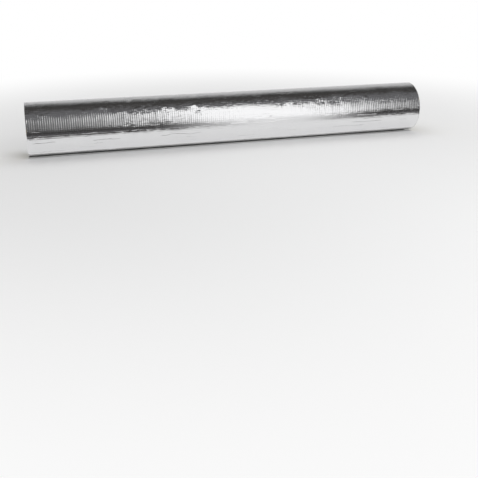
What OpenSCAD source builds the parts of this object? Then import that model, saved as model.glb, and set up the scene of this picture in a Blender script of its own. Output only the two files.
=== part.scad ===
// Mineral wool pipe section: a round length of stone wool insulation that snaps over a pipe.
// One wall is slit through and the other is cut half through from the bore, as a hinge.
// The outside is faced with one sheet of reinforced aluminium foil. The sheet runs on past the
// slit as an overlap flap, which is glued down over the slit once the section is on its pipe.
// Until then a liner covers the flap's adhesive. The section lies on the floor on its open flap.
// X runs along the section, Z is up, and the origin is on the floor under its middle.

/* [Wool] */
// Length of the section
section_length = 1000; // [500:10:1200]
// Bore, which is the outside diameter of the pipe
bore_diameter = 48; // [35:1:76]
// Thickness of the wool wall
wall_thickness = 40; // [30:1:60]

/* [Slit] */
// Where the slit is, in degrees behind the lowest line
slit_angle = 12; // [10:0.5:16]
// Width of both cuts, which is the blade's
cut_width = 1.2; // [1:0.1:2.5]
// Wool left uncut at the hinge, opposite the slit
hinge_thickness = 14; // [8:1:24]

/* [Foil facing] */
// Thickness of the foil sheet
foil_thickness = 0.3; // [0.2:0.05:0.4]
// Width of the overlap flap, from the slit to its free edge
flap_width = 43; // [34:1:60]
// How sharply the flap turns away from the wool at the slit
fold_angle = 25; // [24:1:45]

/* [Release liner] */
// Thickness of the liner
liner_thickness = 0.2; // [0.1:0.05:0.4]
// Bare foil between the liner and the flap's free edge
liner_margin = 1.5; // [0.5:0.5:4]
// Bare foil between the liner and the curve of the flap
liner_setback = 4; // [2:0.5:8]

/* [Hidden] */
$fn = 180;

// Gap between the foil on the section's lowest line and the liner under it
seat_gap = 0.1;
// How far the bonded foil stops short of the slit's edges, so that the fold covers its end
foil_setback = 0.03;
// How far cuts run past the surfaces they open
overshoot = 2;
// How far the flap's curve is carried past the fold, in degrees, to join the bonded foil
fold_lap = 4;

bore_radius = bore_diameter / 2;
wool_radius = bore_radius + wall_thickness;
foil_radius = wool_radius + foil_thickness;
axis_height = foil_thickness + liner_thickness + seat_gap + foil_radius;

// The fold: where the slit's rear face meets the outside of the wool
fold_position = slit_angle + asin(cut_width / 2 / wool_radius);
fold_y = wool_radius * sin(fold_position);
fold_z = axis_height - wool_radius * cos(fold_position);

// To a hundredth of a millimetre, so that the flap's curve and its flat meet face to face
function rounded(size) = round(size * 100) / 100;

// The flap's upper face curves down from the fold until it is flat on the floor
curve_angle = fold_position + fold_angle;
curve_radius = rounded((fold_z - foil_thickness) / (1 - cos(curve_angle)));
curve_length = curve_radius * curve_angle * PI / 180;
flat_start = rounded(fold_y - curve_radius * sin(curve_angle));
flat_width = rounded(flap_width - curve_length);
flap_edge = flat_start - flat_width;

// Carries a section drawn in the Y-Z plane along the whole length
module along_length() {
    rotate([90, 0, 90])
        linear_extrude(height = section_length, center = true)
            children();
}

module ring(outer, inner) {
    difference() {
        circle(r = outer);
        circle(r = inner);
    }
}

// A straight cut, down from the axis before it is turned
module cut(width, depth) {
    translate([-width / 2, -depth])
        square([width, depth]);
}

// A wedge from the centre, from straight down round to the given angle
module wedge(radius, angle) {
    reach = radius / cos(angle / 2);
    polygon([
        [0, 0],
        [0, -radius],
        [reach * sin(angle / 2), -reach * cos(angle / 2)],
        [radius * sin(angle), -radius * cos(angle)]
    ]);
}

module wool_profile() {
    difference() {
        ring(wool_radius, bore_radius);
        rotate(slit_angle)
            cut(cut_width, wool_radius + overshoot);
        rotate(slit_angle + 180)
            cut(cut_width, wool_radius - hinge_thickness);
    }
}

// The sheet bonded round the wool, open along the slit
module bonded_foil() {
    difference() {
        ring(foil_radius, wool_radius);
        rotate(slit_angle)
            cut(cut_width + 2 * foil_setback, foil_radius + overshoot);
    }
}

// The flap: from the fold it curves down to the floor, then lies flat under the section
module flap() {
    difference() {
        translate([flat_start, curve_radius + foil_thickness])
            intersection() {
                ring(curve_radius + foil_thickness, curve_radius);
                wedge(curve_radius + overshoot, curve_angle + fold_lap);
            }
        translate([0, axis_height])
            circle(r = wool_radius);
    }
    translate([flap_edge, 0])
        square([flat_width, foil_thickness]);
}

module wool_section() {
    color([0.50, 0.46, 0.33])
        along_length()
            translate([0, axis_height])
                wool_profile();
}

module foil_facing() {
    color([0.80, 0.80, 0.81])
        along_length() {
            translate([0, axis_height])
                bonded_foil();
            flap();
        }
}

module release_liner() {
    liner_edge = flap_edge + liner_margin;
    color([0.94, 0.94, 0.92])
        along_length()
            translate([liner_edge, foil_thickness])
                square([flat_start - liner_setback - liner_edge, liner_thickness]);
}

wool_section();
foil_facing();
release_liner();
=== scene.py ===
import math

import bmesh
import bpy
from mathutils import Matrix, Vector


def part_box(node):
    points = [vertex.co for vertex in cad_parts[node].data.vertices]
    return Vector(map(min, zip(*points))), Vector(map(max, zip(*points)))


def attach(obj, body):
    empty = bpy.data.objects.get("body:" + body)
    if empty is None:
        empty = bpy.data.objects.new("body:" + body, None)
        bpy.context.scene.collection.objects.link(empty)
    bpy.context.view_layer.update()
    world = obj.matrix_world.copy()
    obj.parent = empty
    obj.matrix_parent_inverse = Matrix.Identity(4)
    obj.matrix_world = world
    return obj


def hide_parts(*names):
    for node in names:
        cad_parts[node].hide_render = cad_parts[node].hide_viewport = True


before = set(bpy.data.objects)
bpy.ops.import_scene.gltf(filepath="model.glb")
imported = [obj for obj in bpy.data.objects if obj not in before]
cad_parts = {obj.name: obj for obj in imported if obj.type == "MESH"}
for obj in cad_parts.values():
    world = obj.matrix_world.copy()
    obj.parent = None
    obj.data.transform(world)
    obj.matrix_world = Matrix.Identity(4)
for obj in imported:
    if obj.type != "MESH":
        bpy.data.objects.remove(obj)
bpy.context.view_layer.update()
print("frame loaded")

mm = 0.001


# One output of a node, with operators, so that an expression on values adds its Math nodes
class Wire:
    def __init__(self, net, socket):
        self.net = net
        self.socket = socket

    def __add__(self, other): return self.net.maths("ADD", self, other)
    def __radd__(self, other): return self.net.maths("ADD", other, self)
    def __sub__(self, other): return self.net.maths("SUBTRACT", self, other)
    def __rsub__(self, other): return self.net.maths("SUBTRACT", other, self)
    def __mul__(self, other): return self.net.maths("MULTIPLY", self, other)
    def __rmul__(self, other): return self.net.maths("MULTIPLY", other, self)
    def __truediv__(self, other): return self.net.maths("DIVIDE", self, other)
    def __rtruediv__(self, other): return self.net.maths("DIVIDE", other, self)
    def __neg__(self): return self.net.maths("MULTIPLY", self, -1.0)
    def __lt__(self, other): return self.net.maths("LESS_THAN", self, other)
    def __gt__(self, other): return self.net.maths("GREATER_THAN", self, other)

    def other(self, name):  # another output of the same node
        return Wire(self.net, findSocket(self.socket.node.outputs, name))


def findSocket(sockets, name):
    if isinstance(name, int):
        return sockets[name]
    return next(socket for socket in sockets if socket.enabled and socket.name == name)


# A node tree: every node in this file comes from its node method
class Net:
    def __init__(self, tree):
        self.tree = tree

    def node(self, kind, settings=None, values=None, out=0):
        made = self.tree.nodes.new(kind)
        for name, setting in (settings or {}).items():
            if name == "stops":
                self.setStops(made.color_ramp, setting)
            else:
                setattr(made, name, setting)
        for name, value in (values or {}).items():
            socket = findSocket(made.inputs, name)
            if isinstance(value, (Wire, list)):  # a list makes several links to one socket
                for wire in value if isinstance(value, list) else [value]:
                    self.tree.links.new(wire.socket, socket)
            else:
                socket.default_value = value
        if not made.outputs:
            return made
        if out == 0:
            return Wire(self, next(socket for socket in made.outputs if socket.enabled))
        return Wire(self, findSocket(made.outputs, out))

    def setStops(self, ramp, stops):  # a shade is a grey, or red, green and blue
        while len(ramp.elements) < len(stops):
            ramp.elements.new(0.5)
        for element, (place, shade) in zip(ramp.elements, stops):
            element.position = place
            element.color = (*shade, 1.0) if isinstance(shade, tuple) else (shade, shade, shade, 1.0)

    def maths(self, operation, *values):
        return self.node("ShaderNodeMath", {"operation": operation}, dict(enumerate(values)))

    def clamp(self, value):
        return self.node("ShaderNodeClamp", None, {"Value": value})

    def floor(self, value): return self.maths("FLOOR", value)
    def fraction(self, value): return self.maths("FRACT", value)
    def sine(self, value): return self.maths("SINE", value)
    def cosine(self, value): return self.maths("COSINE", value)
    def absolute(self, value): return self.maths("ABSOLUTE", value)
    def least(self, first, second): return self.maths("MINIMUM", first, second)
    def most(self, first, second): return self.maths("MAXIMUM", first, second)

    def reach(self, first, second):  # distance from the origin of two axes
        return self.maths("SQRT", first * first + second * second)

    def ease(self, value, start, end):  # 0 before start, 1 after end, smooth between
        return self.node("ShaderNodeMapRange", {"interpolation_type": "SMOOTHSTEP"},
                         {"Value": value, "From Min": start, "From Max": end})

    def rise(self, value, start, end, gain):  # 0 before start, the gain after end, smooth between
        return self.ease(value, start, end) * gain

    def vector(self, operation, *values):
        return self.node("ShaderNodeVectorMath", {"operation": operation}, dict(enumerate(values)))

    def stretch(self, vector, factor):  # a vector times a plain number
        return self.node("ShaderNodeVectorMath", {"operation": "SCALE"}, {"Vector": vector, "Scale": factor})

    def split(self, vector):
        first = self.node("ShaderNodeSeparateXYZ", None, {"Vector": vector})
        return first, first.other("Y"), first.other("Z")

    def join(self, x, y, z):
        return self.node("ShaderNodeCombineXYZ", None, {"X": x, "Y": y, "Z": z})

    def noise(self, vector, scale, detail=2.0, roughness=0.5):
        return self.node("ShaderNodeTexNoise", None, {
            "Vector": vector, "Scale": scale, "Detail": detail, "Roughness": roughness})

    def grain(self, vector, scales, detail=2.0, roughness=0.5):  # noise with a scale for each axis
        return self.noise(self.vector("MULTIPLY", vector, scales), 1.0, detail, roughness)

    def mix(self, factor, first, second):  # colours
        return self.node("ShaderNodeMix", {"data_type": "RGBA"}, {"Factor": factor, "A": first, "B": second})

    def ramp(self, value, stops):
        return self.node("ShaderNodeValToRGB", {"stops": stops}, {"Fac": value})


def newMaterial(name):
    made = bpy.data.materials.new(name)
    made.use_nodes = True
    made.node_tree.nodes.clear()
    return made, Net(made.node_tree)


def endMaterial(net, shader):
    net.node("ShaderNodeOutputMaterial", None, {"Surface": shader})


def newTree(name, inputs):
    # A geometry tree, its net, and its inputs as wires: each is of its value's type, or a material for None
    kinds = {float: "NodeSocketFloat", int: "NodeSocketInt", type(None): "NodeSocketMaterial"}
    tree = bpy.data.node_groups.new(name, "GeometryNodeTree")
    for way in ("INPUT", "OUTPUT"):
        tree.interface.new_socket(name="Geometry", in_out=way, socket_type="NodeSocketGeometry")
    for label, value in inputs.items():
        socket = tree.interface.new_socket(name=label, in_out="INPUT", socket_type=kinds[type(value)])
        if value is not None:
            socket.default_value = value
    net = Net(tree)
    start = net.node("NodeGroupInput").socket.node
    wires = {socket.name: Wire(net, socket) for socket in start.outputs if socket.name}
    return tree, net, wires


def endTree(net, geometry, material):
    real = net.node("GeometryNodeRealizeInstances", None, {"Geometry": geometry})
    dressed = net.node("GeometryNodeSetMaterial", None, {"Geometry": real, "Material": material})
    net.node("NodeGroupOutput", None, {0: dressed})


def applyTree(piece, tree, values):
    # Sets the tree's inputs by identifier, then puts the evaluated mesh in the piece's place
    modifier = piece.modifiers.new(tree.name, "NODES")
    modifier.node_group = tree
    identifiers = {item.name: item.identifier for item in tree.interface.items_tree
                   if item.item_type == "SOCKET" and item.in_out == "INPUT"}
    for name, value in values.items():
        modifier[identifiers[name]] = value
    evaluated = piece.evaluated_get(bpy.context.evaluated_depsgraph_get())
    mesh = bpy.data.meshes.new_from_object(evaluated)
    piece.modifiers.remove(modifier)
    piece.data = mesh
    mesh.name = piece.name


def toMesh(build, name):
    mesh = bpy.data.meshes.new(name)
    build.to_mesh(mesh)
    build.free()
    return mesh


def addPiece(name, mesh):
    piece = bpy.data.objects.new(name, mesh)
    bpy.context.scene.collection.objects.link(piece)
    return piece


cameraView = {
    "place": (-0.46890, -1.65142, 0.41317),
    "turn": 16.444,  # degrees from +Y toward +X
    "drop": 15.686,  # degrees below level
    "lean": -0.201,
    "lens": 51.873,
    "shift": -0.15,  # the section lies high in the frame, with its upright edges nearly parallel
    "clip": (0.02, 200.0),
}


def addCamera(view):
    turn, drop, lean = (math.radians(view[name]) for name in ("turn", "drop", "lean"))
    forward = Vector((math.sin(turn) * math.cos(drop), math.cos(turn) * math.cos(drop), -math.sin(drop)))
    level = Vector((math.cos(turn), -math.sin(turn), 0.0))
    upright = level.cross(forward)
    right = math.cos(lean) * level + math.sin(lean) * upright
    up = math.cos(lean) * upright - math.sin(lean) * level
    data = bpy.data.cameras.new("camera")
    data.lens = view["lens"]
    data.shift_y = view["shift"]
    data.clip_start, data.clip_end = view["clip"]
    camera = bpy.data.objects.new("camera", data)
    facing = Matrix((right, up, -forward)).transposed().to_4x4()
    camera.matrix_world = Matrix.Translation(view["place"]) @ facing
    bpy.context.scene.collection.objects.link(camera)
    bpy.context.scene.camera = camera


addCamera(cameraView)
print("camera placed")


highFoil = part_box("foil_facing")[1]
lowLiner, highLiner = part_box("release_liner")

# What all three pieces share, in metres
section = {
    "half": highFoil[0],  # half the length
    "woolRadius": 64.0 * mm,
    "boreRadius": 24.0 * mm,
    "axisHeight": highFoil[2] - 64.3 * mm,  # the wool's radius and the foil's thickness
    "slitTurn": math.radians(12.0),  # behind the lowest line
    "cutHalf": 0.6 * mm,  # half the width of the slit and of the hinge cut
    "hingeReach": 50.0 * mm,  # radius at which the hinge cut stops
    "freeEdge": lowLiner[1] - 1.5 * mm,  # the flap shows a little past its liner
}


# Soft dents from handling: the foil and the wool under it have the same ones
dents = {
    "depth": 0.75 * mm,
    "seed": 3.7,
    # Broad, middle and creased: stretch along the section, scale, and share of the depth
    "layers": ((0.55, 9.0, 0.50), (0.50, 30.0, 0.34), (0.22, 95.0, 0.16)),
}


def dentGroup(sizes):
    tree = bpy.data.node_groups.new("handlingDents", "GeometryNodeTree")
    for label, kind in (("Place", "Vector"), ("Depth", "Float"), ("Seed", "Float")):
        tree.interface.new_socket(name=label, in_out="INPUT", socket_type="NodeSocket" + kind)
    tree.interface.new_socket(name="Dent", in_out="OUTPUT", socket_type="NodeSocketFloat")
    net = Net(tree)
    place = net.node("NodeGroupInput")
    depth, seed = place.other("Depth"), place.other("Seed")
    x, y, z = net.split(place)
    dent = 0.0
    for axis, (stretch, scale, share) in enumerate(sizes["layers"]):
        spot = [x * stretch, y, z]
        spot[axis] = spot[axis] + seed  # each layer is moved along another axis
        dent = dent + net.noise(net.join(*spot), scale, 1.0) * share
    net.node("NodeGroupOutput", None, {0: dent * depth})
    return tree


dentTree = dentGroup(dents)


def dentAt(net, place, wires):
    return net.node("GeometryNodeGroup", {"node_tree": dentTree}, {
        "Place": place, "Depth": wires["Dent Depth"], "Seed": wires["Dent Seed"]})


# Foil facing: a thin flat sheet, which a geometry tree wraps round the section and works the ribs into
foil = {
    "thickness": 0.3 * mm,
    "curveRadius": 10.27 * mm,
    "curveTurn": math.radians(37.537),
    "flatStart": 7.64 * mm,
    "ringSteps": 96,
    "curveSteps": 4,
    "flatSteps": 16,
    "seed": 5,
    "ribPitch": 5.0 * mm,  # of the yarns, round the section and along it
    "ribHeight": 0.12 * mm,
    "ribHalf": 0.9 * mm,  # half width of a rib in the mesh
    "ribShare": 0.19,  # half width of the foil's rise over a yarn, as a share of the pitch
    "ribChance": (0.60, 1.0),
    "pressPlace": 0.075,  # where along the section the ribs are pressed flattest
    "pressLeast": 0.35,  # their strength there
    "pressLeft": (0.10, 0.46, 0.65),  # to the left of it: start, end, and how much stronger they get
    "pressRight": (0.15, 0.27, 0.32),
    "endCrumple": 0.5 * mm,
    "crumpleReach": 6.0 * mm,
    "crumpleGrain": (20.0, 90.0, 90.0),
    "flapWave": 2.7 * mm,
    "waveRise": (11.5 * mm, 30.0 * mm),  # across the flat, from the flap's curve
    "waveLeast": 0.6,  # lowest lift of the free edge, as a share of the greatest
    "waveGrain": (6.0, 21.0),  # a slow wave and a quick one, and their shares
    "waveShares": (0.7, 0.3),
    "waveCut": (0.42, 4.0),  # where the lift starts to grow, and how steeply
    # Tilts of the surface: over the ring yarns, least and by chance, and over the lengthwise yarns
    "ribTilt": (0.105, 0.05),
    "yarnTilt": 0.11,
    # Wrinkles: scale along each axis, detail and roughness, then their tilts
    "patchGrain": ((7.0, 26.0, 26.0), 2.0, 0.5),
    "burstGrain": ((16.0, 34.0, 34.0), 1.0, 0.5),
    "fineGrain": ((90.0, 260.0, 260.0), 3.0, 0.6),
    "middleGrain": ((22.0, 70.0, 70.0), 2.0, 0.5),
    "shortGrain": ((400.0, 24.0, 24.0), 1.0, 0.5),
    "fineTilt": 0.50,
    "middleTilt": 0.34,
    "shortTilt": 0.10,
    "endTilt": 1.6,
    "endReach": 8.0 * mm,
    # Strength of the wrinkles: everywhere, in patches and in bursts
    "wrinkleLeast": 0.45,
    "patchRise": (0.40, 0.66, 0.80),
    "burstRise": (0.57, 0.68, 1.25),
    # They are strongest between the middle height and the top, by how far the surface faces up
    "handledLeast": 0.42,
    "handledRise": (-0.05, 0.35, 1.08),
    "handledFall": (0.72, 0.88),
    # Creases along the section, in short runs, and sharper on the underside
    "creasePitch": 9.5 * mm,
    "creaseHalf": 0.8 * mm,
    "creaseWander": 1.1,
    "creaseRun": 12.0,  # scale of the runs, and where in the noise each crease reads its own
    "creaseSpot": (7.3, 2.0),
    "creaseBreak": (0.50, 0.62),
    "creaseTilt": 0.14,
    "creaseUnder": (0.25, -0.10, 0.46),
    # Haze on the metal
    "haze": (22.0, 4.0, 0.6),
    "roughness": (0.11, 0.11),  # least, and how much the haze adds
    "shades": ((0.74, 0.74, 0.75, 1.0), (0.81, 0.81, 0.815, 1.0)),
}


def sheetStations(sizes, shared):
    # Distances across the sheet: round the wool, over the flap's curve, and along its flat
    slitShare = 2 * math.asin(shared["cutHalf"] / shared["woolRadius"])
    ringWidth = shared["woolRadius"] * (2 * math.pi - slitShare)
    stations = [0.0]
    for width, steps in ((ringWidth, sizes["ringSteps"]),
                         (sizes["curveRadius"] * sizes["curveTurn"], sizes["curveSteps"]),
                         (sizes["flatStart"] - shared["freeEdge"], sizes["flatSteps"])):
        start = stations[-1]
        stations += [start + width * step / steps for step in range(1, steps + 1)]
    return stations, ringWidth


def zipEdges(build, first, second):
    # Faces between two rows of vertices with different counts, each in order of x
    i = j = 0
    while i < len(first) - 1 or j < len(second) - 1:
        ahead = first[min(i + 1, len(first) - 1)].co.x
        behind = second[min(j + 1, len(second) - 1)].co.x
        if j == len(second) - 1 or (i < len(first) - 1 and ahead <= behind + 1e-7):
            build.faces.new((first[i], second[j], first[i + 1]))
            i += 1
        else:
            build.faces.new((first[i], second[j], second[j + 1]))
            j += 1


def flatSheet(sizes, shared):
    # Foil side up at the sheet's thickness with three columns to a rib, backing at 0 with one
    stations, _ = sheetStations(sizes, shared)
    half, pitch, ribHalf = shared["half"], sizes["ribPitch"], sizes["ribHalf"]
    count = round(2 * half / pitch)
    middles = [-half + pitch * (step + 0.5) for step in range(count)]
    crests = [middle + shift for middle in middles for shift in (-ribHalf, 0.0, ribHalf)]
    troughs = [middle + pitch / 2 for middle in middles[:-1]]
    build = bmesh.new()
    skins = []
    for columns, depth in ((crests, sizes["thickness"]), (troughs, 0.0)):
        columns = [-half] + columns + [half]
        skins.append([[build.verts.new((x, across, depth)) for x in columns] for across in stations])
    for skin, order in zip(skins, (1, -1)):
        for near, far in zip(skin, skin[1:]):
            for index in range(len(near) - 1):
                build.faces.new((near[index], near[index + 1], far[index + 1], far[index])[::order])
    front, back = skins
    zipEdges(build, front[0], back[0])
    zipEdges(build, back[-1], front[-1])
    for row in range(len(stations) - 1):
        for side, order in ((0, 1), (-1, -1)):
            face = (front[row][side], front[row + 1][side], back[row + 1][side], back[row][side])
            build.faces.new(face[::order])
    return toMesh(build, "foilSheet")


def ribStrength(net, along):
    # The ribs are pressed flattest a little past the middle, and stand highest at the left end
    pressed = along - foil["pressPlace"]
    strength = foil["pressLeast"] + net.rise(-pressed, *foil["pressLeft"])
    return strength + net.rise(pressed, *foil["pressRight"])


def flapWaveAt(net, along, flatAcross):
    # Lift of the flap as a share of the greatest: none under the lowest line, and most at the free edge
    slowScale, quickScale = foil["waveGrain"]
    slowShare, quickShare = foil["waveShares"]
    start, steepness = foil["waveCut"]
    slow = net.noise(net.join(along * slowScale, 0.0, 0.0), 1.0, 1.0)
    quick = net.noise(net.join(along * quickScale, 3.0, 0.0), 1.0, 1.0)
    wave = net.clamp((slow * slowShare + quick * quickShare - start) * steepness)
    return net.ease(flatAcross, *foil["waveRise"]) * (foil["waveLeast"] + (1.0 - foil["waveLeast"]) * wave)


def wrapTree():
    tree, net, wires = newTree("wrapFacing", {
        "Wool Radius": 0.064, "Axis Height": 0.065, "Sheet Thickness": 0.0003, "Ring Start": 0.2,
        "Ring Width": 0.4, "Curve Radius": 0.01, "Curve Turn": 0.65, "Flat Start": 0.0076,
        "Half Length": 0.5, "Rib Pitch": 0.005, "Rib Height": 0.0001, "Rib Half Width": 0.001,
        "Least Rib": 0.5, "Most Rib": 1.0, "Dent Depth": 0.0005, "Dent Seed": 0.0,
        "End Crumple": 0.0003, "Crumple Reach": 0.005, "Flap Wave": 0.001, "Seed": 0, "Material": None})
    sheetPlace = net.node("GeometryNodeInputPosition")
    along, across, level = net.split(sheetPlace)
    woolRadius, ringWidth, thickness = wires["Wool Radius"], wires["Ring Width"], wires["Sheet Thickness"]
    face = level / thickness  # 1 on the foil side, 0 on the backing

    # Round the wool, from the slit over the front and the top and back to the slit
    ringAcross = net.least(across, ringWidth)
    turn = wires["Ring Start"] - ringAcross / woolRadius
    roundPlace = net.join(along, net.sine(turn) * woolRadius, net.cosine(turn) * woolRadius * -1.0)
    dent = dentAt(net, roundPlace, wires)

    # Ribs, each a little different, and the ruffled ends
    ribPlace = (along + wires["Half Length"]) / wires["Rib Pitch"]
    fromRib = net.fraction(ribPlace) - 0.5
    ribChance = net.node("FunctionNodeRandomValue", {"data_type": "FLOAT"}, {
        "Min": wires["Least Rib"], "Max": wires["Most Rib"], "ID": net.floor(ribPlace),
        "Seed": wires["Seed"]})
    crest = 1.0 - net.clamp(net.absolute(fromRib) * wires["Rib Pitch"] / wires["Rib Half Width"])
    rib = (1.0 - crest * ribChance * ribStrength(net, along)) * wires["Rib Height"] * face
    fromEnd = wires["Half Length"] - net.absolute(along)
    ruffle = net.grain(roundPlace, foil["crumpleGrain"])
    crumple = (1.0 - net.ease(fromEnd, 0.0, wires["Crumple Reach"])) * ruffle * wires["End Crumple"]
    radius = woolRadius + level - (dent + rib + crumple)
    ringPlace = net.join(along, net.sine(turn) * radius, wires["Axis Height"] - net.cosine(turn) * radius)

    # Over the curve and along the flat: the foil side faces down here, and the liner lies on the backing
    curveWidth = wires["Curve Turn"] * wires["Curve Radius"]
    curveAcross = net.least(net.most(across - ringWidth, 0.0), curveWidth)
    flatAcross = net.most(across - ringWidth - curveWidth, 0.0)
    curveTurn = wires["Curve Turn"] - curveAcross / wires["Curve Radius"]
    curveRadius = wires["Curve Radius"] + level
    wave = flapWaveAt(net, along, flatAcross) * wires["Flap Wave"]
    flapPlace = net.join(
        along, wires["Flat Start"] + net.sine(curveTurn) * curveRadius - flatAcross,
        wires["Curve Radius"] + thickness - net.cosine(curveTurn) * curveRadius + wave)
    onFlap = net.node("FunctionNodeCompare", {"operation": "GREATER_THAN"},
                      {"A": across, "B": ringWidth + 0.01 * mm})
    place = net.node("GeometryNodeSwitch", {"input_type": "VECTOR"},
                     {"Switch": onFlap, "False": ringPlace, "True": flapPlace})

    # The place on the flat sheet is kept for the material's yarns and creases
    kept = net.node("GeometryNodeStoreNamedAttribute", {"data_type": "FLOAT_VECTOR", "domain": "POINT"},
                    {"Geometry": wires["Geometry"], "Name": "sheetPlace", "Value": sheetPlace})
    moved = net.node("GeometryNodeSetPosition", None, {"Geometry": kept, "Position": place})
    smooth = net.node("GeometryNodeSetShadeSmooth", None, {"Geometry": moved})
    endTree(net, smooth, wires["Material"])
    return tree


def yarnSlope(net, share, halfWidth):
    # Tilt of the foil over a yarn at the middle of each pitch: away from the yarn on both its sides
    fromYarn = net.fraction(share) - 0.5
    return net.sine(net.clamp(fromYarn / (2 * halfWidth) + 0.5) * (2 * math.pi)) * -1.0


def creaseSlope(net, sizes, along, across, middle, facingUp):
    share = across / sizes["creasePitch"] + (middle - 0.5) * sizes["creaseWander"]
    fromCrease = (net.fraction(share) - 0.5) * sizes["creasePitch"] / sizes["creaseHalf"]
    apart, first = sizes["creaseSpot"]
    run = net.noise(net.join(along * sizes["creaseRun"], net.floor(share) * apart + first, 0.0), 1.0, 1.0)
    fold = net.sine(net.clamp(fromCrease * 0.5 + 0.5) * (2 * math.pi))
    crease = fold * net.ease(run, *sizes["creaseBreak"])
    return crease * (sizes["creaseTilt"] + net.rise(facingUp, *sizes["creaseUnder"]))


def foilMaterial(sizes, shared):
    made, net = newMaterial("reinforcedFoil")
    sheetPlace = net.node("ShaderNodeAttribute", {"attribute_name": "sheetPlace"}, out="Vector")
    along, across, _ = net.split(sheetPlace)
    place = net.node("ShaderNodeTexCoord", out="Object")
    normal = net.node("ShaderNodeNewGeometry", out="Normal")
    facingUp = net.split(normal)[2]
    alongWay = (1.0, 0.0, 0.0)
    acrossWay = net.vector("CROSS_PRODUCT", alongWay, normal)

    # The foil over the ring yarns and the lengthwise yarns
    ribPlace = (along + shared["half"]) / sizes["ribPitch"]
    chance = net.node("ShaderNodeTexWhiteNoise", {"noise_dimensions": "1D"}, {"W": net.floor(ribPlace)})
    leastTilt, moreTilt = sizes["ribTilt"]
    ribTilt = leastTilt + moreTilt * chance
    ribSlope = yarnSlope(net, ribPlace, sizes["ribShare"]) * ribTilt * ribStrength(net, along)
    lengthSlope = yarnSlope(net, across / sizes["ribPitch"], sizes["ribShare"]) * sizes["yarnTilt"]

    # Wrinkles, longer along the section than across it
    patch = net.grain(place, *sizes["patchGrain"])
    burst = net.grain(place, *sizes["burstGrain"])
    fine = net.grain(place, *sizes["fineGrain"])
    middle = net.grain(place, *sizes["middleGrain"])
    short = net.grain(place, *sizes["shortGrain"])
    strength = sizes["wrinkleLeast"] + net.rise(patch, *sizes["patchRise"])
    strength = strength + net.rise(burst, *sizes["burstRise"])
    handled = net.rise(facingUp, *sizes["handledRise"]) * (1.0 - net.ease(facingUp, *sizes["handledFall"]))
    strength = strength * (sizes["handledLeast"] + handled)
    fromEnd = shared["half"] - net.absolute(along)
    endTilt = (fine - 0.5) * (1.0 - net.ease(fromEnd, 0.0, sizes["endReach"])) * sizes["endTilt"]
    slopeAlong = ribSlope + (short - 0.5) * sizes["shortTilt"] * strength + endTilt
    wrinkle = ((fine - 0.5) * sizes["fineTilt"] + (middle - 0.5) * sizes["middleTilt"]) * strength
    slopeAcross = lengthSlope + wrinkle + creaseSlope(net, sizes, along, across, middle, facingUp)
    tilted = net.vector("ADD", normal, net.vector(
        "ADD", net.stretch(alongWay, slopeAlong), net.stretch(acrossWay, slopeAcross)))

    haze = net.noise(place, *sizes["haze"])
    leastRough, moreRough = sizes["roughness"]
    endMaterial(net, net.node("ShaderNodeBsdfPrincipled", None, {
        "Base Color": net.mix(haze, *sizes["shades"]), "Metallic": 1.0,
        "Roughness": leastRough + haze * moreRough, "Normal": net.vector("NORMALIZE", tilted)}))
    return made


def makeFoil(sizes, shared):
    _, ringWidth = sheetStations(sizes, shared)
    piece = addPiece("foilFacing", flatSheet(sizes, shared))
    applyTree(piece, wrapTree(), {
        "Wool Radius": shared["woolRadius"], "Axis Height": shared["axisHeight"],
        "Sheet Thickness": sizes["thickness"],
        "Ring Start": shared["slitTurn"] - math.asin(shared["cutHalf"] / shared["woolRadius"]),
        "Ring Width": ringWidth, "Curve Radius": sizes["curveRadius"], "Curve Turn": sizes["curveTurn"],
        "Flat Start": sizes["flatStart"], "Half Length": shared["half"],
        "Rib Pitch": sizes["ribPitch"], "Rib Height": sizes["ribHeight"], "Rib Half Width": sizes["ribHalf"],
        "Least Rib": sizes["ribChance"][0], "Most Rib": sizes["ribChance"][1],
        "Dent Depth": dents["depth"], "Dent Seed": dents["seed"], "End Crumple": sizes["endCrumple"],
        "Crumple Reach": sizes["crumpleReach"], "Flap Wave": sizes["flapWave"], "Seed": sizes["seed"],
        "Material": foilMaterial(sizes, shared)})
    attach(piece, "root")
    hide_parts("foil_facing")
    print("foil facing", len(piece.data.polygons), "faces")


makeFoil(foil, section)


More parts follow.
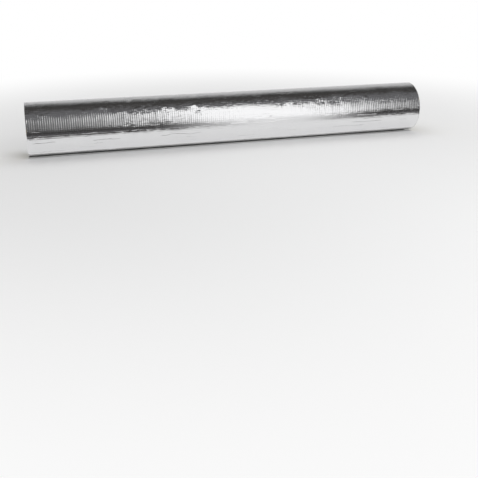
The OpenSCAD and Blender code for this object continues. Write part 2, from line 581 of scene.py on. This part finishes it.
# Stone wool: the end faces show wound layers and loose fibres, and the outside follows the foil's dents
wool = {
    "columns": 96,  # on each side, from the slit to the hinge
    "rows": 24,  # from the bore to the outside
    "endSteps": (0.0, 1.2, 3.0, 5.5, 9.0, 14.0, 20.0, 28.0, 38.0, 50.0),  # millimetres in from each end
    "middleSteps": 30,  # from the last of them to the middle
    "seed": 11,
    "foilGap": 0.12 * mm,
    "skin": (0.1 * mm, 0.8 * mm),  # a surface's relief is whole to the first depth, and gone at the second
    "boreRelief": 0.5 * mm,
    "boreGrain": (380.0, 3.0, 0.6),
    "reliefDepth": 0.9 * mm,  # of the end faces
    "reliefShares": (0.12, 0.45, 0.55),  # everywhere, in the layers, and in the lumps
    "reliefLumps": (260.0, 4.0, 0.65),
    "winding": (900.0, 2.0, 0.5),  # layers in a metre of wall, detail and roughness
    "swirlGrain": (45.0, 2.0),
    "swirl": 3.0,  # how far the layers wander, in layers
    # Loose fibres
    "fibreFacing": 0.6,  # they grow where the surface faces the end at least this much,
    "fibreZone": 2.0 * mm,  # and this near to it
    "fibreDensity": 210000.0,
    "fibreLength": 2.4 * mm,
    "fibreChance": (0.4, 1.3),  # least and greatest share of that length
    "fibreRadius": 0.045 * mm,
    "fibreBend": ((-0.5, 0.0, 0.0), (0.0, 0.22, 0.10), (0.5, 0.0, 0.05)),
    "fibreTurn": ((-0.25, -0.25, 0.0), (0.25, 0.25, 6.283)),  # least and most, about each axis
    "fibreTrim": (0.02 * mm, 0.8 * mm),  # how far they stay inside the end and the outside
    # Colour: layers, lumps and hairs, each with its share of the tone, and dark specks
    "tintLayers": (1100.0, 3.0, 0.6),
    "tintRun": 40.0,  # how quickly the layers' tint changes along the section
    "tintLumps": (170.0, 5.0, 0.7),
    "hairGrain": ((900.0, 1500.0, 1500.0), 3.0, 0.7),
    "toneShares": (0.45, 0.45, 0.35),
    "toneDrop": 0.12,
    "tones": [(0.22, (0.135, 0.112, 0.062)), (0.42, (0.300, 0.258, 0.150)),
              (0.60, (0.440, 0.392, 0.250)), (0.80, (0.600, 0.555, 0.410))],
    "speckScale": 420.0,
    "speckSize": (0.06, 0.16),
    "speckLumps": (0.52, 0.60),
    "speckShare": 0.75,
    "speckColour": (0.035, 0.028, 0.018, 1.0),
    "bump": (0.6, 0.6 * mm),  # strength and height, half of it lumps and half hairs
    "roughness": 0.95,
    "specular": 0.25,
}


def woolStations(sizes, shared):
    # Close together near the ends, and evenly spaced from there to the middle
    steps = [step * mm for step in sizes["endSteps"]]
    near, count = steps[-1], sizes["middleSteps"]
    steps += [near + (shared["half"] - near) * step / count for step in range(1, count + 1)]
    left = [-shared["half"] + step for step in steps]
    return left + [-x for x in left[-2::-1]]


def woolBody(sizes, shared):
    rows = [shared["boreRadius"] + (shared["woolRadius"] - shared["boreRadius"]) * step / sizes["rows"]
            for step in range(sizes["rows"] + 1)]
    hingeRow = min(range(len(rows)), key=lambda index: abs(rows[index] - shared["hingeReach"]))
    rows[hingeRow] = shared["hingeReach"]
    columns = sizes["columns"]
    build = bmesh.new()

    def ringPoint(x, row, column):
        # Columns 0 to n run from the slit round to the hinge, and n + 1 to 2n + 1 on from there to the slit
        gap = math.asin(shared["cutHalf"] / rows[row])
        share = column / columns if column <= columns else (column - columns - 1) / columns
        start = gap if column <= columns else math.pi + gap
        turn = shared["slitTurn"] + start + (math.pi - 2 * gap) * share
        return (x, math.sin(turn) * rows[row], shared["axisHeight"] - math.cos(turn) * rows[row])

    last = 2 * columns + 1
    faceGrids = []
    for x in (-shared["half"], shared["half"]):
        faceGrids.append([[build.verts.new(ringPoint(x, row, column)) for column in range(last + 1)]
                          for row in range(len(rows))])
    for grid, order in zip(faceGrids, (1, -1)):
        for row in range(len(rows) - 1):
            for column in range(last):
                if column == columns and row < hingeRow:
                    continue
                near, far = grid[row], grid[row + 1]
                build.faces.new((near[column], near[column + 1], far[column + 1], far[column])[::order])

    # The outline that both end faces share, once round: outside, slit, bore, hinge cut, bore, slit
    outer = len(rows) - 1
    outline = [(outer, column) for column in range(last + 1)]
    outline += [(row, last) for row in range(outer - 1, 0, -1)]
    outline += [(0, column) for column in range(last, columns, -1)]
    outline += [(row, columns + 1) for row in range(1, hingeRow)]
    outline += [(hingeRow, columns + 1), (hingeRow, columns)]
    outline += [(row, columns) for row in range(hingeRow - 1, 0, -1)]
    outline += [(0, column) for column in range(columns, -1, -1)]
    outline += [(row, 0) for row in range(1, outer)]
    loops = [[faceGrids[0][row][column] for row, column in outline]]
    for x in woolStations(sizes, shared)[1:-1]:
        loops.append([build.verts.new(ringPoint(x, row, column)) for row, column in outline])
    loops.append([faceGrids[1][row][column] for row, column in outline])
    for near, far in zip(loops, loops[1:]):
        for index in range(len(outline)):
            after = (index + 1) % len(outline)
            build.faces.new((near[index], far[index], far[after], near[after]))
    bmesh.ops.recalc_face_normals(build, faces=build.faces)
    return toMesh(build, "woolBody")


def woundLayers(net, centred, along, reach, winding):
    perMetre, detail, roughness = winding
    swirl = net.noise(centred, *wool["swirlGrain"])
    return net.noise(net.join(along, reach * perMetre + swirl * wool["swirl"], 0.0), 1.0, detail, roughness)


def looseFibres(net, wires, body):
    # Bent hairs on the end faces of the body
    facing = net.absolute(net.split(net.node("GeometryNodeInputNormal"))[0])
    fromEnd = wires["Half Length"] - net.absolute(net.split(net.node("GeometryNodeInputPosition"))[0])
    atEnd = (facing > wool["fibreFacing"]) * (fromEnd < wool["fibreZone"])
    points = net.node("GeometryNodeDistributePointsOnFaces", {"distribute_method": "RANDOM"}, {
        "Mesh": body, "Selection": atEnd, "Density": wires["Fibre Density"], "Seed": wires["Seed"]})
    start, middle, end = wool["fibreBend"]
    bend = net.node("GeometryNodeCurveQuadraticBezier", None, {
        "Resolution": 3, "Start": start, "Middle": middle, "End": end})
    ring = net.node("GeometryNodeCurvePrimitiveCircle", None, {"Resolution": 3, "Radius": 1.0})
    # The instances are scaled by the fibre's length, so the profile is divided by it
    thin = wires["Fibre Radius"] / wires["Fibre Length"]
    profile = net.node("GeometryNodeTransform", None, {"Geometry": ring, "Scale": net.join(thin, thin, 1.0)})
    fibre = net.node("GeometryNodeCurveToMesh", None, {
        "Curve": bend, "Profile Curve": profile, "Fill Caps": True})
    leastTurn, mostTurn = wool["fibreTurn"]
    spin = net.node("FunctionNodeRandomValue", {"data_type": "FLOAT_VECTOR"}, {
        "Min": leastTurn, "Max": mostTurn, "Seed": wires["Seed"]})
    turned = net.node("FunctionNodeRotateRotation", {"rotation_space": "LOCAL"}, {
        "Rotation": points.other("Rotation"), "Rotate By": spin})
    leastLong, mostLong = wool["fibreChance"]
    long = net.node("FunctionNodeRandomValue", {"data_type": "FLOAT"}, {
        "Min": leastLong, "Max": mostLong, "Seed": wires["Seed"]}) * wires["Fibre Length"]
    fibres = net.node("GeometryNodeInstanceOnPoints", None, {
        "Points": points, "Instance": fibre, "Rotation": turned, "Scale": net.join(long, long, long)})
    loose = net.node("GeometryNodeRealizeInstances", None, {"Geometry": fibres})

    # No fibre stands past the end of the section, or into the foil
    insideEnd, insideFoil = wool["fibreTrim"]
    x, y, z = net.split(net.node("GeometryNodeInputPosition"))
    height = z - wires["Axis Height"]
    reach = net.reach(y, height)
    share = net.least(reach, wires["Wool Radius"] - insideFoil) / reach
    limit = wires["Half Length"] - insideEnd
    return net.node("GeometryNodeSetPosition", None, {"Geometry": loose, "Position": net.join(
        net.most(net.least(x, limit), limit * -1.0), y * share, wires["Axis Height"] + height * share)})


def woolTree():
    tree, net, wires = newTree("frayWool", {
        "Half Length": 0.5, "Axis Height": 0.065, "Wool Radius": 0.064, "Bore Radius": 0.024,
        "Foil Gap": 0.0001, "Dent Depth": 0.0005, "Dent Seed": 0.0, "Relief Depth": 0.001,
        "Bore Relief": 0.0005, "Fibre Density": 1000.0, "Fibre Length": 0.002, "Fibre Radius": 0.00005,
        "Seed": 0, "Material": None})
    x, y, z = net.split(net.node("GeometryNodeInputPosition"))
    height = z - wires["Axis Height"]
    centred = net.join(x, y, height)
    reach = net.reach(y, height)

    # The outside stays just inside the foil's backing, and the bore is rough
    shallow, deep = wool["skin"]
    dent = dentAt(net, centred, wires)
    outside = net.ease(reach, wires["Wool Radius"] - deep, wires["Wool Radius"] - shallow)
    inward = outside * (dent + wires["Foil Gap"])
    inBore = 1.0 - net.ease(reach, wires["Bore Radius"] + shallow, wires["Bore Radius"] + deep)
    outward = inBore * net.noise(centred, *wool["boreGrain"]) * wires["Bore Relief"]
    share = (reach - inward + outward) / reach

    # The end faces: wound layers, and lumps between them
    layers = woundLayers(net, centred, 0.0, reach, wool["winding"])
    lumps = net.noise(centred, *wool["reliefLumps"])
    whole, layerShare, lumpShare = wool["reliefShares"]
    fromEnd = wires["Half Length"] - net.absolute(x)
    relief = (1.0 - net.ease(fromEnd, 0.0, deep)) * (whole + layers * layerShare + lumps * lumpShare)
    sunk = relief * wires["Relief Depth"]
    moved = net.node("GeometryNodeSetPosition", None, {
        "Geometry": wires["Geometry"], "Position": net.join(
            x - net.maths("SIGN", x) * sunk, y * share, wires["Axis Height"] + height * share)})
    body = net.node("GeometryNodeSetShadeSmooth", None, {"Geometry": moved})
    both = net.node("GeometryNodeJoinGeometry", None, {"Geometry": [looseFibres(net, wires, body), body]})
    endTree(net, both, wires["Material"])
    return tree


def woolMaterial(sizes, shared):
    made, net = newMaterial("stoneWool")
    x, y, z = net.split(net.node("ShaderNodeTexCoord", out="Object"))
    height = z - shared["axisHeight"]
    centred = net.join(x, y, height)
    layers = woundLayers(net, centred, x * sizes["tintRun"], net.reach(y, height), sizes["tintLayers"])
    lumps = net.noise(centred, *sizes["tintLumps"])
    hairs = net.grain(centred, *sizes["hairGrain"])
    layerShare, lumpShare, hairShare = sizes["toneShares"]
    tone = net.clamp(layers * layerShare + lumps * lumpShare + hairs * hairShare - sizes["toneDrop"])
    specks = net.node("ShaderNodeTexVoronoi", {"feature": "F1"}, {
        "Vector": centred, "Scale": sizes["speckScale"]})
    dark = (1.0 - net.ease(specks, *sizes["speckSize"])) * net.ease(lumps, *sizes["speckLumps"])
    colour = net.mix(dark * sizes["speckShare"], net.ramp(tone, sizes["tones"]), sizes["speckColour"])
    strength, distance = sizes["bump"]
    bump = net.node("ShaderNodeBump", None, {
        "Strength": strength, "Distance": distance, "Height": lumps * 0.5 + hairs * 0.5})
    endMaterial(net, net.node("ShaderNodeBsdfPrincipled", None, {
        "Base Color": colour, "Roughness": sizes["roughness"], "Specular IOR Level": sizes["specular"],
        "Normal": bump}))
    return made


def makeWool(sizes, shared):
    piece = addPiece("woolBody", woolBody(sizes, shared))
    applyTree(piece, woolTree(), {
        "Half Length": shared["half"], "Axis Height": shared["axisHeight"],
        "Wool Radius": shared["woolRadius"], "Bore Radius": shared["boreRadius"],
        "Foil Gap": sizes["foilGap"], "Dent Depth": dents["depth"], "Dent Seed": dents["seed"],
        "Relief Depth": sizes["reliefDepth"], "Bore Relief": sizes["boreRelief"],
        "Fibre Density": sizes["fibreDensity"], "Fibre Length": sizes["fibreLength"],
        "Fibre Radius": sizes["fibreRadius"], "Seed": sizes["seed"], "Material": woolMaterial(sizes, shared)})
    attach(piece, "root")
    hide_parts("wool_section")
    print("stone wool", len(piece.data.polygons), "faces")


makeWool(wool, section)


# Release liner: a thin paper strip over the flap's adhesive, waved as the flap is
liner = {
    "columns": 200,
    "rows": 14,
    "thickness": highLiner[2] - lowLiner[2],
    "cloud": (30.0, 2.0),
    "shades": ((0.80, 0.80, 0.785, 1.0), (0.86, 0.86, 0.845, 1.0)),
    "roughness": (0.30, 0.12),  # least, and how much the cloud adds
    "grain": (900.0, 3.0, 0.6),
    "bump": (0.25, 0.1 * mm),
    "coat": (1.0, 0.08),  # weight and roughness
}


def linerStrip(sizes, shared):
    width, columns, rows = highLiner[1] - lowLiner[1], sizes["columns"], sizes["rows"]
    build = bmesh.new()
    skins = []
    for level in (sizes["thickness"], 0.0):
        skins.append([[build.verts.new((shared["half"] * (2 * column / columns - 1),
                                        highLiner[1] - width * row / rows, lowLiner[2] + level))
                       for column in range(columns + 1)] for row in range(rows + 1)])
    top, bottom = skins
    strips = [(near, far) for skin in skins for near, far in zip(skin, skin[1:])]
    strips += [(top[0], bottom[0]), (top[-1], bottom[-1])]
    for near, far in strips:
        for index in range(columns):
            build.faces.new((near[index], near[index + 1], far[index + 1], far[index]))
    for side in (0, -1):
        for row in range(rows):
            build.faces.new((top[row][side], top[row + 1][side], bottom[row + 1][side], bottom[row][side]))
    bmesh.ops.recalc_face_normals(build, faces=build.faces)
    return toMesh(build, "linerStrip")


def linerTree():
    tree, net, wires = newTree("waveLiner", {"Flat Start": 0.0076, "Flap Wave": 0.001, "Material": None})
    x, y, z = net.split(net.node("GeometryNodeInputPosition"))
    wave = flapWaveAt(net, x, wires["Flat Start"] - y) * wires["Flap Wave"]
    moved = net.node("GeometryNodeSetPosition", None, {
        "Geometry": wires["Geometry"], "Position": net.join(x, y, z + wave)})
    endTree(net, moved, wires["Material"])
    return tree


def linerMaterial(sizes):
    made, net = newMaterial("linerPaper")
    place = net.node("ShaderNodeTexCoord", out="Object")
    cloud = net.noise(place, *sizes["cloud"])
    strength, distance = sizes["bump"]
    bump = net.node("ShaderNodeBump", None, {
        "Strength": strength, "Distance": distance, "Height": net.noise(place, *sizes["grain"])})
    leastRough, moreRough = sizes["roughness"]
    coatWeight, coatRough = sizes["coat"]
    endMaterial(net, net.node("ShaderNodeBsdfPrincipled", None, {
        "Base Color": net.mix(cloud, *sizes["shades"]), "Roughness": leastRough + cloud * moreRough,
        "Coat Weight": coatWeight, "Coat Roughness": coatRough, "Normal": bump}))
    return made


def makeLiner(sizes, shared):
    piece = addPiece("releaseLiner", linerStrip(sizes, shared))
    applyTree(piece, linerTree(), {
        "Flat Start": foil["flatStart"], "Flap Wave": foil["flapWave"], "Material": linerMaterial(sizes)})
    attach(piece, "root")
    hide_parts("release_liner")
    print("release liner", len(piece.data.polygons), "faces")


makeLiner(liner, section)


# Studio: a pale floor that fades into a white surround, a softbox, two lamps, and a dark hood and two low
# dark flags that glow only where they are mirrored, as painted reflections in the foil
studio = {
    "floor": {
        "colour": (0.90, 0.90, 0.90, 1.0),
        "reach": 60.0,  # half its width
        "fade": (0.45, 1.5),  # it turns plain white over these distances from the middle
        "nearWhite": (0.06, 0.40),  # share of plain white glow near the section, seen and mirrored; the larger mirrored share is a painted reflection in the foil's lower band
        "closeMirroredGlow": 0.25,  # painted reflection: more white glow, seen only in the foil, close beside the section
        "closeFade": (0.08, 0.17),
        "shadowSides": (0.022, 0.031),  # none of it under the section, out to these places
        "shadowEnds": (0.500, 0.530),
    },
    "hood": {
        "radius": 3.2,
        "reach": 9.0,
        "turn": (-1.5, 168.0),  # degrees round the section, from the front up and over to the back
        "steps": 90,
        "slant": 0.025,  # its shades lie further back to the left of slantEnd, in half turns a metre
        "slantEnd": 0.9,
        # Painted reflection: its glow by how far round, pale in front, dark overhead, and pale again behind
        "shades": [(0.0, (0.12, 0.12, 0.125)), (0.30, (0.15, 0.15, 0.155)), (0.38, (0.15, 0.15, 0.155)),
                   (0.47, (0.080, 0.077, 0.075)), (0.55, (0.046, 0.044, 0.042)),
                   (0.60, (0.047, 0.045, 0.043)), (0.66, 0.14), (0.715, 0.42), (0.78, 0.59), (0.87, 0.65)],
    },
    "softbox": {
        "y": -1.5,
        "low": 0.02,  # its lower edge, and then its upper outline and its share of the glow along x
        "high": [(-0.90, 2.90), (-0.42, 2.60), (-0.20, 1.48), (-0.05, 1.60), (0.03, 2.05), (0.30, 2.12),
                 (0.60, 2.72), (0.80, 2.45), (1.10, 1.72), (1.70, 1.20)],
        "glow": 1.22,
        "shares": [(-0.90, 0.10), (-0.56, 0.145), (-0.23, 0.235), (0.00, 0.60), (0.15, 1.0),
                   (0.92, 1.0), (1.03, 0.82), (1.21, 0.30), (1.60, 0.12)],
        "slant": 0.20,  # left of slantEnd, its shares lean to the right below slantTop
        "slantTop": 1.10,
        "slantEnd": 0.60,
    },
    "flags": {
        "y": -0.160,
        "height": 0.092,
        # Name, outer end, where its fading starts, and where it is gone
        "cards": (("flagLeft", -1.3, -0.21, 0.12), ("flagRight", 1.4, 0.44, 0.17)),
        "topFade": 0.034,
        "fadeDrop": 0.03,  # the faded part of a card is lower by this
        # Painted reflection: the glow up each card, mostly dark, which only the foil shows
        "shades": [(0.0, (0.060, 0.057, 0.055)), (0.26, (0.055, 0.052, 0.051)),
                   (0.36, (0.125, 0.125, 0.130)), (0.46, (0.045, 0.043, 0.042))],
    },
    # Name, energy, size and place
    "lamps": (("overhead", 12.0, (2.2, 1.6), (0.1, 0.40, 1.9)),
              ("frontLamp", 11.8, (1.8, 1.2), (0.35, -1.6, 0.75))),
    "fill": 0.50,  # strength of the surround where it isn't seen or mirrored
}


def addFlat(name, corners):
    mesh = bpy.data.meshes.new(name)
    mesh.from_pydata(corners, [], [tuple(range(len(corners)))])
    made = addPiece(name, mesh)
    return made


def glossyOnly(made):
    for ray in ("camera", "diffuse", "transmission", "volume_scatter", "shadow"):
        setattr(made, "visible_" + ray, False)


def addFloor(sizes):
    made, net = newMaterial("paleFloor")
    x, y, _ = net.split(net.node("ShaderNodeTexCoord", out="Object"))
    away = net.ease(net.reach(x, y), *sizes["fade"])
    light = net.node("ShaderNodeLightPath", out="Is Camera Ray")
    mirrored = net.clamp(light.other("Is Glossy Ray") + light.other("Is Transmission Ray"))
    seenNear, mirroredNear = sizes["nearWhite"]
    # Painted reflection: a strip of extra glow beside the section, which only the foil shows
    mirroredNear = mirroredNear + sizes["closeMirroredGlow"] * (1.0 - net.ease(net.absolute(y), *sizes["closeFade"]))
    white = light * (seenNear + away * (1.0 - seenNear))
    white = white + mirrored * (mirroredNear + away * (1.0 - mirroredNear))
    # None of it under the section, which keeps its shadow in the foil as well
    beyondSides = net.ease(net.absolute(y), *sizes["shadowSides"])
    beyondEnds = net.ease(net.absolute(x), *sizes["shadowEnds"])
    white = white * net.most(beyondSides, beyondEnds)
    matte = net.node("ShaderNodeBsdfDiffuse", None, {"Color": sizes["colour"]})
    plain = net.node("ShaderNodeEmission", None, {"Color": (1.0, 1.0, 1.0, 1.0), "Strength": 1.0})
    endMaterial(net, net.node("ShaderNodeMixShader", None, {0: net.clamp(white), 1: matte, 2: plain}))
    reach = sizes["reach"]
    floor = addFlat("floor", [(-reach, -reach, 0), (reach, -reach, 0), (reach, reach, 0), (-reach, reach, 0)])
    floor.data.materials.append(made)


def addHood(sizes, shared):
    # Painted reflection: a wide half tunnel that only the foil shows, whose glow depends on how far round it
    # is
    radius, steps = sizes["radius"], sizes["steps"]
    start, end = sizes["turn"]
    corners = []
    for step in range(steps + 1):
        turn = math.radians(start + (end - start) * step / steps)
        for x in (-sizes["reach"], sizes["reach"]):
            corners.append((x, -radius * math.cos(turn), shared["axisHeight"] + radius * math.sin(turn)))
    faces = [(2 * step, 2 * step + 1, 2 * step + 3, 2 * step + 2) for step in range(steps)]
    mesh = bpy.data.meshes.new("hood")
    mesh.from_pydata(corners, [], faces)
    hood = addPiece("hood", mesh)
    glossyOnly(hood)
    made, net = newMaterial("hoodGlow")
    x, y, z = net.split(net.node("ShaderNodeTexCoord", out="Object"))
    turned = net.maths("ARCTAN2", z - shared["axisHeight"], -y) / math.pi
    share = turned + net.least(x - sizes["slantEnd"], 0.0) * sizes["slant"]
    endMaterial(net, net.node("ShaderNodeEmission", None, {
        "Color": net.ramp(share, sizes["shades"]), "Strength": 1.0}))
    mesh.materials.append(made)


def addSoftbox(sizes):
    # Brightest in its middle, and falling off to both sides
    high, y, low = sizes["high"], sizes["y"], sizes["low"]
    left, right = high[0][0], high[-1][0]
    panel = addFlat("softbox", [(right, y, low), (left, y, low)] + [(x, y, z) for x, z in high])
    panel.visible_camera = False
    panel.visible_shadow = False
    made, net = newMaterial("softboxGlow")
    x, _, z = net.split(net.node("ShaderNodeTexCoord", out="Object"))
    drop = sizes["slantTop"] - net.least(z, sizes["slantTop"])
    leaning = x - drop * sizes["slant"] * (x < sizes["slantEnd"])
    share = net.ramp((leaning - left) / (right - left),
                     [((place - left) / (right - left), bright) for place, bright in sizes["shares"]])
    endMaterial(net, net.node("ShaderNodeEmission", None, {"Color": share, "Strength": sizes["glow"]}))
    panel.data.materials.append(made)


def addFlags(sizes):
    # Painted reflection: low dark cards in front that only the foil shows, as a thin dark line near its
    # middle height
    y, height = sizes["y"], sizes["height"]
    for name, outer, inner, edge in sizes["cards"]:
        flag = addFlat(name, [(outer, y, 0.0), (outer, y, height), (edge, y, height), (edge, y, 0.0)])
        glossyOnly(flag)
        made, net = newMaterial(name + "Shade")
        x, _, z = net.split(net.node("ShaderNodeTexCoord", out="Object"))
        along = net.ease((x - inner) / (edge - inner), 0.0, 1.0)
        upward = net.ease(z + along * sizes["fadeDrop"], height - sizes["topFade"], height)
        dark = net.node("ShaderNodeEmission", None, {
            "Color": net.ramp(z / height, sizes["shades"]), "Strength": 1.0})
        clear = net.node("ShaderNodeBsdfTransparent")
        faded = net.clamp(along + upward)
        endMaterial(net, net.node("ShaderNodeMixShader", None, {0: faded, 1: dark, 2: clear}))
        flag.data.materials.append(made)


def addLamp(name, energy, size, place):
    # Faces the origin, and the foil doesn't mirror it
    data = bpy.data.lights.new(name, "AREA")
    data.shape = "RECTANGLE"
    data.size, data.size_y = size
    data.energy = energy
    lamp = bpy.data.objects.new(name, data)
    lamp.location = place
    lamp.rotation_euler = (-Vector(place)).to_track_quat("-Z", "Y").to_euler()
    lamp.visible_glossy = False
    bpy.context.scene.collection.objects.link(lamp)


def setWorld(fill):
    world = bpy.data.worlds.new("surround")
    world.use_nodes = True
    world.node_tree.nodes.clear()
    net = Net(world.node_tree)
    light = net.node("ShaderNodeLightPath", out="Is Camera Ray")
    seen = net.clamp(light + light.other("Is Glossy Ray") + light.other("Is Transmission Ray"))
    surround = net.node("ShaderNodeBackground", None, {
        "Color": (1.0, 1.0, 1.0, 1.0), "Strength": seen + (1.0 - seen) * fill})
    net.node("ShaderNodeOutputWorld", None, {"Surface": surround})
    bpy.context.scene.world = world


addFloor(studio["floor"])
addHood(studio["hood"], section)
addSoftbox(studio["softbox"])
addFlags(studio["flags"])
for lamp in studio["lamps"]:
    addLamp(*lamp)
setWorld(studio["fill"])
bpy.context.scene.view_settings.view_transform = "Standard"
print("studio lit")
